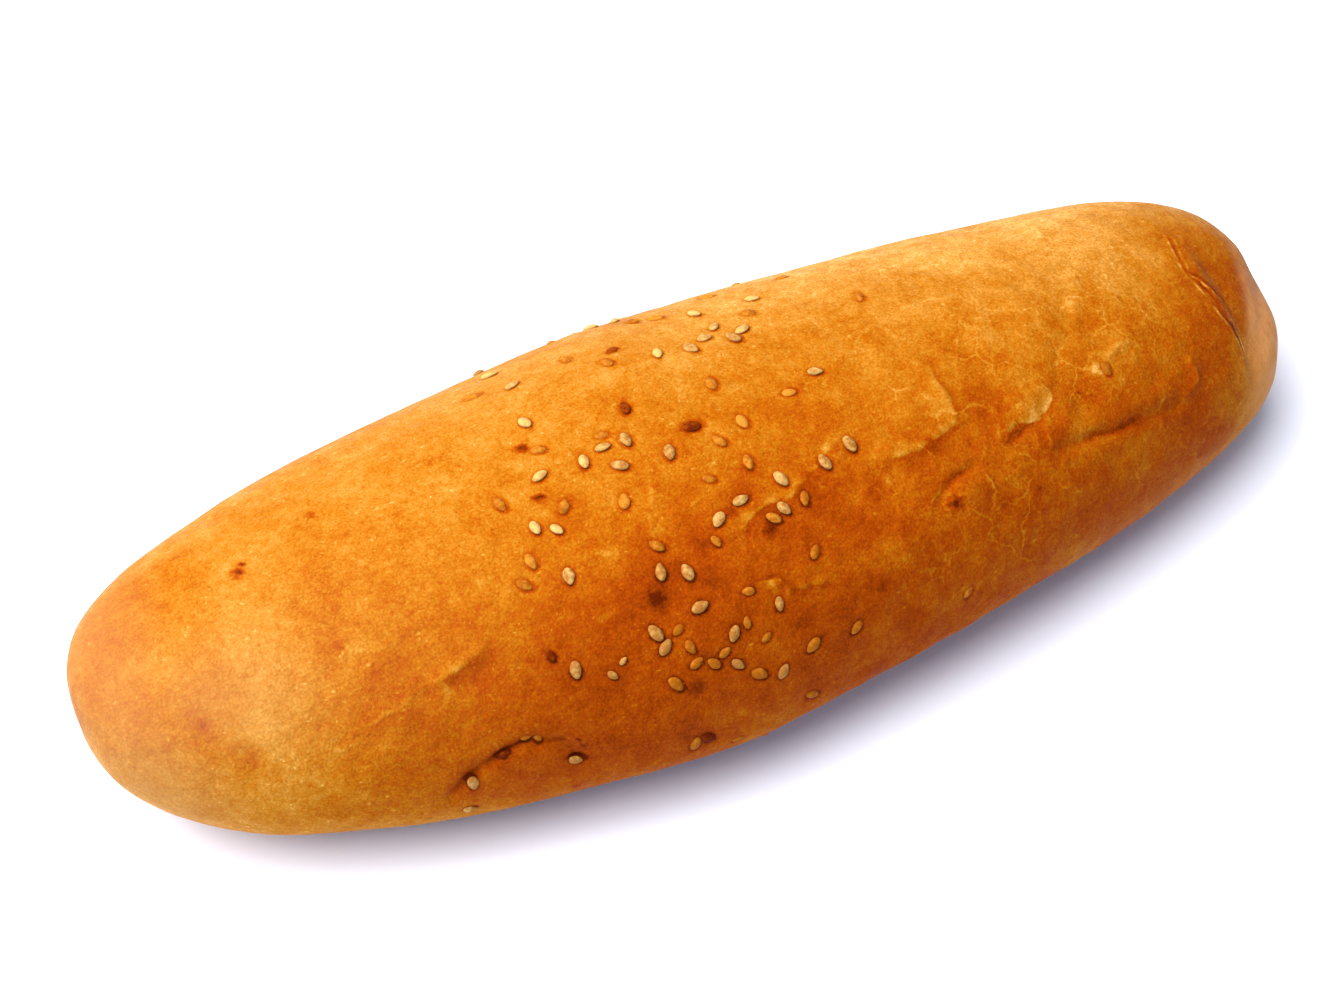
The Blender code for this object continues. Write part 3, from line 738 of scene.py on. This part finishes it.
# Node helpers. An input takes a value or another node's output.
def feed(tree, socket, value):
    if isinstance(value, bpy.types.NodeSocket):
        tree.links.new(value, socket)
    else:
        socket.default_value = value


def addNode(tree, kind, inputs=None, **settings):
    node = tree.nodes.new(kind)
    for name, value in settings.items():
        setattr(node, name, value)
    for name, value in (inputs or {}).items():
        feed(tree, node.inputs[name], value)
    return node


def calculate(tree, operation, first, second, clamp=False):
    node = addNode(tree, "ShaderNodeMath", {0: first, 1: second}, operation=operation, use_clamp=clamp)
    return node.outputs[0]


# A value with so much of another added to it.
def addShare(tree, base, value, share):
    return calculate(tree, "ADD", base, calculate(tree, "MULTIPLY", value, share))


def mixColours(tree, share, first, second):
    node = addNode(tree, "ShaderNodeMix", data_type="RGBA", blend_type="MIX")
    for name, value in (("Factor_Float", share), ("A_Color", first), ("B_Color", second)):
        feed(tree, next(i for i in node.inputs if i.identifier == name), value)
    return next(o for o in node.outputs if o.identifier == "Result_Color")


def remap(tree, value, low, high, toLow=0.0, toHigh=1.0):
    inputs = {"Value": value, "From Min": low, "From Max": high, "To Min": toLow, "To Max": toHigh}
    return addNode(tree, "ShaderNodeMapRange", inputs, interpolation_type="SMOOTHSTEP").outputs[0]


def cloudNoise(tree, place, scale, detail, roughness):
    inputs = {"Vector": place, "Scale": scale, "Detail": detail, "Roughness": roughness}
    return addNode(tree, "ShaderNodeTexNoise", inputs).outputs


def vectorMath(tree, operation, inputs):
    return addNode(tree, "ShaderNodeVectorMath", inputs, operation=operation).outputs[0]


# One of the chances between 0 and 1 that a cell's own colour gives it.
def cellChance(tree, cells):
    return addNode(tree, "ShaderNodeSeparateColor", {"Color": cells.outputs["Color"]}).outputs[0]


# A group takes places and named numbers, and gives numbers.
def newGroup(name, numbers, results):
    group = bpy.data.node_groups.new(name, "ShaderNodeTree")
    group.interface.new_socket("Vector", in_out="INPUT", socket_type="NodeSocketVector")
    for label, value in numbers.items():
        socket = group.interface.new_socket(label, in_out="INPUT", socket_type="NodeSocketFloat")
        socket.default_value = value
    for label in results:
        group.interface.new_socket(label, in_out="OUTPUT", socket_type="NodeSocketFloat")
    given, result = group.nodes.new("NodeGroupInput"), group.nodes.new("NodeGroupOutput")
    return group, given.outputs, result.inputs


# How fine, broken and soft the patterns of the skin are.
skinPattern = dict(
    cloudRoughness=0.55, cloudSpread=2.6, usualCloud=(-0.6, 0.6),
    bendFineness=1.1, bendDetail=3.5, softSide=0.16,
    breakDetail=4.0, breakRoughness=0.68, breakRange=(0.49, 0.63),
)


# Mottle: soft cloudy spots of a chosen size, -1 to 1.
def makeMottleGroup():
    p = skinPattern
    group, given, result = newGroup("mottle", dict(Size=0.003, Detail=3.0), ["Value"])
    scale = calculate(group, "DIVIDE", 1.0, given["Size"])
    cloud = cloudNoise(group, given["Vector"], scale, given["Detail"], p["cloudRoughness"])[0]
    value = calculate(group, "MULTIPLY", calculate(group, "SUBTRACT", cloud, 0.5), p["cloudSpread"])
    group.links.new(value, result["Value"])
    return group


# Places bent by soft noise, so that the cells of a pattern get crooked sides.
def bendPlaces(group, given):
    p = skinPattern
    scale = calculate(group, "DIVIDE", p["bendFineness"], given["Size"])
    wander = cloudNoise(group, given["Vector"], scale, p["bendDetail"], p["cloudRoughness"])
    centred = vectorMath(group, "SUBTRACT", {0: wander["Color"], 1: (0.5, 0.5, 0.5)})
    amount = calculate(group, "MULTIPLY", given["Size"], given["Bend"])
    scaled = vectorMath(group, "SCALE", {0: centred, "Scale": amount})
    return vectorMath(group, "ADD", {0: given["Vector"], 1: scaled})


# Plates: the skin's crooked fields, each a little lighter or browner, -1 to 1, and the fine
# broken seams between them, 0 to 1.
def makePlateGroup():
    p = skinPattern
    numbers = dict(Size=0.009, Bend=1.0, Width=0.04, Patch=0.010)
    group, given, result = newGroup("plates", numbers, ["Tone", "Seam"])
    layout = {"Vector": bendPlaces(group, given), "Scale": calculate(group, "DIVIDE", 1.0, given["Size"])}
    cells = addNode(group, "ShaderNodeTexVoronoi", layout)
    sides = addNode(group, "ShaderNodeTexVoronoi", layout, feature="DISTANCE_TO_EDGE").outputs["Distance"]
    tone = calculate(group, "MULTIPLY", calculate(group, "SUBTRACT", cellChance(group, cells), 0.5), 2.0)
    inside = remap(group, sides, 0.0, p["softSide"])
    group.links.new(calculate(group, "MULTIPLY", tone, inside), result["Tone"])
    line = remap(group, sides, 0.0, given["Width"], 1.0, 0.0)
    scale = calculate(group, "DIVIDE", 1.0, given["Patch"])
    patch = cloudNoise(group, given["Vector"], scale, p["breakDetail"], p["breakRoughness"])[0]
    broken = remap(group, patch, *p["breakRange"])
    group.links.new(calculate(group, "MULTIPLY", line, broken), result["Seam"])
    return group


# Flecks: small specks, a share of them showing, 0 to 1.
def makeFleckGroup():
    numbers = dict(Spacing=0.002, Width=0.25, Share=0.4)
    group, given, result = newGroup("flecks", numbers, ["Speck"])
    scale = calculate(group, "DIVIDE", 1.0, given["Spacing"])
    cells = addNode(group, "ShaderNodeTexVoronoi", {"Vector": given["Vector"], "Scale": scale})
    speck = remap(group, cells.outputs["Distance"], 0.0, given["Width"], 1.0, 0.0)
    shown = calculate(group, "LESS_THAN", cellChance(group, cells), given["Share"])
    group.links.new(calculate(group, "MULTIPLY", speck, shown), result["Speck"])
    return group


skinGroups = dict(plate=makePlateGroup(), fleck=makeFleckGroup(), mottle=makeMottleGroup())


def useGroup(tree, name, **inputs):
    return addNode(tree, "ShaderNodeGroup", inputs, node_tree=skinGroups[name]).outputs


def mottle(tree, place, size, detail):
    return useGroup(tree, "mottle", Vector=place, Size=size, Detail=detail)[0]


def readAttribute(tree, name):
    return addNode(tree, "ShaderNodeAttribute", attribute_name=name).outputs["Fac"]


def newMaterial(name):
    material = bpy.data.materials.new(name)
    material.use_nodes = True
    tree = material.node_tree
    return material, tree, tree.nodes["Principled BSDF"]


def addRamp(tree, value, stops):
    ramp = addNode(tree, "ShaderNodeValToRGB", {"Fac": value})
    while len(ramp.color_ramp.elements) < len(stops):
        ramp.color_ramp.elements.new(0.5)
    for element, (position, colour) in zip(ramp.color_ramp.elements, stops):
        element.position = position
        element.color = (*colour, 1.0)
    return ramp.outputs["Color"]


# Roughness that varies softly between two values, and a bump of a height in metres.
def finishSkin(tree, shader, cloud, roughness, height, bumpHeight):
    rough = remap(tree, cloud, *skinPattern["usualCloud"], *roughness)
    tree.links.new(rough, shader.inputs["Roughness"])
    bump = addNode(tree, "ShaderNodeBump", {"Height": height, "Strength": 1.0, "Distance": bumpHeight})
    tree.links.new(bump.outputs[0], shader.inputs["Normal"])


# Crust colours from pale gold to scorched, each at its own bake.
crustFinish = dict(
    bakeRange=(-0.3, 1.5),
    bakeColours=(
        (-0.3, (0.69, 0.40, 0.110)),
        (0.0, (0.585, 0.240, 0.037)),
        (0.15, (0.485, 0.188, 0.021)),
        (0.35, (0.426, 0.137, 0.006)),
        (0.55, (0.372, 0.091, 0.0015)),
        (0.75, (0.328, 0.057, 0.001)),
        (0.95, (0.280, 0.037, 0.0006)),
        (1.5, (0.09, 0.009, 0.0004)),
    ),
    # underColour is the pale dull crust; on the front band and the far lip it also carries painted light
    # from the white floor
    underColour=(0.63, 0.275, 0.092, 1.0), flourColour=(0.40, 0.200, 0.085, 1.0),
    dullSize=0.0025, dullDetail=3.0, dullShare=0.94, dullUneven=0.30,
    patches=((0.021, 0.08), (0.0075, 0.13), (0.0030, 0.15), (0.0011, 0.15), (0.00042, 0.27)),
    marks=dict(  # group, length, degrees turned, where, how much browner, and the group's numbers
        plate=("plate", 1.0, 0, "wrinkle", (0.13, -0.36), dict(Size=0.0098, Width=0.040, Patch=0.012)),
        smallPlate=("plate", 1.0, 0, "wrinkle", (0.09, -0.24), dict(Size=0.0042, Width=0.065, Patch=0.009)),
        scratch=("fleck", 2.6, 62, "sand", (-0.46,), dict(Spacing=0.0011, Width=0.18, Share=0.36)),
        dash=("fleck", 2.6, -28, "sand", (-0.46,), dict(Spacing=0.0011, Width=0.18, Share=0.36)),
        paleFleck=("fleck", 1.4, 0, None, (-0.42,), dict(Spacing=0.0022, Width=0.20, Share=0.26)),
        darkFleck=("fleck", 1.0, 0, None, (0.30,), dict(Spacing=0.0034, Width=0.13, Share=0.30)),
    ),
    lumps=((0.0036, 0.65), (0.0012, 0.34), (0.00045, 0.20)), bumpHeight=0.00020,
    roughness=(0.46, 0.66), roughSize=0.004, roughDetail=2.0,
    specular=0.018, sheenTint=(1.0, 0.62, 0.28, 1.0),
)


# Patches and marks add to or take from the bake, which then gives the colour.
def bakeOnCrust(tree, place, field):
    c = crustFinish
    bake = field["bake"]
    for size, strength in c["patches"]:
        bake = addShare(tree, bake, mottle(tree, place, size, 1.0), strength)
    for group, length, turned, where, strengths, numbers in c["marks"].values():
        turn = (0.0, 0.0, math.radians(turned))
        layout = {"Vector": place, "Scale": (length, 1.0, 1.0), "Rotation": turn}
        laid = addNode(tree, "ShaderNodeMapping", layout, vector_type="TEXTURE").outputs[0]
        for mark, strength in zip(useGroup(tree, group, Vector=laid, **numbers), strengths):
            if where:
                mark = calculate(tree, "MULTIPLY", mark, field[where])
            bake = addShare(tree, bake, mark, strength)
    return bake


def makeCrustMaterial():
    c = crustFinish
    material, tree, shader = newMaterial("crustFinish")
    place = addNode(tree, "ShaderNodeTexCoord").outputs["Object"]
    field = {name: readAttribute(tree, name) for name in ("bake", "under", "flour", "wrinkle", "sand")}
    low, high = c["bakeRange"]
    tone = calculate(tree, "SUBTRACT", bakeOnCrust(tree, place, field), low)
    tone = calculate(tree, "DIVIDE", tone, high - low)
    stops = [((stop - low) / (high - low), shade) for stop, shade in c["bakeColours"]]
    colour = mixColours(tree, field["flour"], addRamp(tree, tone, stops), c["flourColour"])
    uneven = mottle(tree, place, c["dullSize"], c["dullDetail"])
    dull = addShare(tree, c["dullShare"], uneven, c["dullUneven"])
    dull = calculate(tree, "MULTIPLY", field["under"], dull, clamp=True)
    colour = mixColours(tree, dull, colour, c["underColour"])
    tree.links.new(colour, shader.inputs["Base Color"])
    shader.inputs["Specular IOR Level"].default_value = c["specular"]
    shader.inputs["Specular Tint"].default_value = c["sheenTint"]

    height = 0.0  # soft lumps down to a fine grain
    for size, strength in c["lumps"]:
        height = addShare(tree, height, mottle(tree, place, size, 1.0), strength)
    cloud = mottle(tree, place, c["roughSize"], c["roughDetail"])
    finishSkin(tree, shader, cloud, c["roughness"], height, c["bumpHeight"])
    return material


# Each kind of seed: darkest and lightest colour, colour of the painted shade at its edge, roughness and
# shine.
seedFinish = dict(
    sesamePale=((0.325, 0.118, 0.018), (0.61, 0.365, 0.105), (0.20, 0.05, 0.003), (0.40, 0.58), 0.05),
    sesameGlazed=((0.31, 0.08, 0.003), (0.54, 0.195, 0.018), (0.16, 0.03, 0.0005), (0.40, 0.58), 0.02),
    sesameBurnt=((0.11, 0.011, 0.0006), (0.27, 0.045, 0.0015), (0.06, 0.006, 0.0003), (0.39, 0.57), 0.012),
)
seedSkin = dict(
    cloudSize=0.0008, cloudDetail=3.0, cloudOnShade=0.80, lightAt=0.85,
    cloudOnEdge=0.15, edgeRange=(0.20, 0.80), edgeShare=0.85,
    grainSize=0.0005, grainDetail=2.0, grainHeight=0.00003,
)


def makeSeedMaterial(name):
    s = seedSkin
    dark, light, edge, roughness, shine = seedFinish[name]
    material, tree, shader = newMaterial(name + "Finish")
    place = addNode(tree, "ShaderNodeTexCoord").outputs["Object"]
    cloud = mottle(tree, place, s["cloudSize"], s["cloudDetail"])
    tone = addShare(tree, readAttribute(tree, "shade"), cloud, s["cloudOnShade"])
    colour = addRamp(tree, tone, ((0.0, dark), (s["lightAt"], light)))
    # painted shade at the seed's edge, mixed towards the edge colour
    edgeShade = addShare(tree, readAttribute(tree, "edgeShade"), cloud, s["cloudOnEdge"])
    outline = calculate(tree, "MULTIPLY", remap(tree, edgeShade, *s["edgeRange"]), s["edgeShare"])
    tree.links.new(mixColours(tree, outline, colour, (*edge, 1.0)), shader.inputs["Base Color"])
    shader.inputs["Specular IOR Level"].default_value = shine
    grain = mottle(tree, place, s["grainSize"], s["grainDetail"])
    finishSkin(tree, shader, cloud, roughness, grain, s["grainHeight"])
    return material


crust.data.materials.append(makeCrustMaterial())
for piece in seedPieces:
    piece.data.materials.append(makeSeedMaterial(piece.name))
print("finishes made")

for piece in [crust, *seedPieces]:
    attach(piece, "root")
    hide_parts("loaf")

# Studio: a white floor, an even bright room, one large soft light from above on the left
# and a faint cool one low on the left.
studio = dict(
    floorSize=3.0, floorColour=(0.90, 0.90, 0.95), floorRoughness=0.9,
    roomColour=(0.51, 0.68, 0.93), roomStrength=0.44,
    lamps=dict(  # from, size, power, colour
        key=((-0.42, 0.13, 0.90), 1.4, 29.8, (1.0, 0.98, 0.97)),
        fill=((-0.42, -0.30, 0.16), 0.3, 0.8, (0.03, 0.50, 1.0)),
    ),
)


def makeFloor():
    shape = bmesh.new()
    bmesh.ops.create_grid(shape, x_segments=2, y_segments=2, size=studio["floorSize"] / 2)
    floor = newObject("floor", newMesh("floor", shape))
    material, _, shader = newMaterial("floorFinish")
    shader.inputs["Base Color"].default_value = (*studio["floorColour"], 1.0)
    shader.inputs["Roughness"].default_value = studio["floorRoughness"]
    floor.data.materials.append(material)


def lightStudio():
    world = bpy.data.worlds.new("studio")
    bpy.context.scene.world = world
    world.use_nodes = True
    room = world.node_tree.nodes["Background"]
    room.inputs["Color"].default_value = (*studio["roomColour"], 1.0)
    room.inputs["Strength"].default_value = studio["roomStrength"]
    for name, (place, size, power, colour) in studio["lamps"].items():
        lamp = bpy.data.lights.new(name, "AREA")
        lamp.shape = "DISK"
        lamp.size = size
        lamp.energy = power
        lamp.color = colour
        light = bpy.data.objects.new(name, lamp)
        light.location = place
        light.rotation_euler = (-Vector(place)).to_track_quat("-Z", "Y").to_euler()
        bpy.context.scene.collection.objects.link(light)


# The camera looks down on the loaf's front, with its left end nearer: degrees turned and above
# the table, metres off and at what, the focal length and the aim in the photo's pixels.
view = dict(
    turn=26.21, rise=50.0, reach=0.52, target=(0.0, 0.0055, 0.02), aimPixel=(39.0, -8.1),
    focal=3019.0, frameWidth=1320.0, sensorWidth=36.0, clipStart=0.01,
)


def placeCamera():
    turn, rise = math.radians(view["turn"]), math.radians(view["rise"])
    back = Vector((-math.sin(turn) * math.cos(rise), -math.cos(turn) * math.cos(rise), math.sin(rise)))
    right = Vector((math.cos(turn), -math.sin(turn), 0.0))
    up = back.cross(right)
    toRight, toUp = [pixels * view["reach"] / view["focal"] for pixels in view["aimPixel"]]
    aim = Vector(view["target"]) - right * toRight + up * toUp
    lens = bpy.data.cameras.new("camera")
    lens.sensor_width = view["sensorWidth"]
    lens.lens = view["focal"] / view["frameWidth"] * view["sensorWidth"]
    lens.clip_start = view["clipStart"]
    camera = bpy.data.objects.new("camera", lens)
    turned = Matrix((right, up, back)).transposed().to_4x4()
    camera.matrix_world = Matrix.Translation(aim + back * view["reach"]) @ turned
    bpy.context.scene.collection.objects.link(camera)
    bpy.context.scene.camera = camera


makeFloor()
lightStudio()
placeCamera()
bpy.context.scene.view_settings.view_transform = "Standard"
print("studio lit")
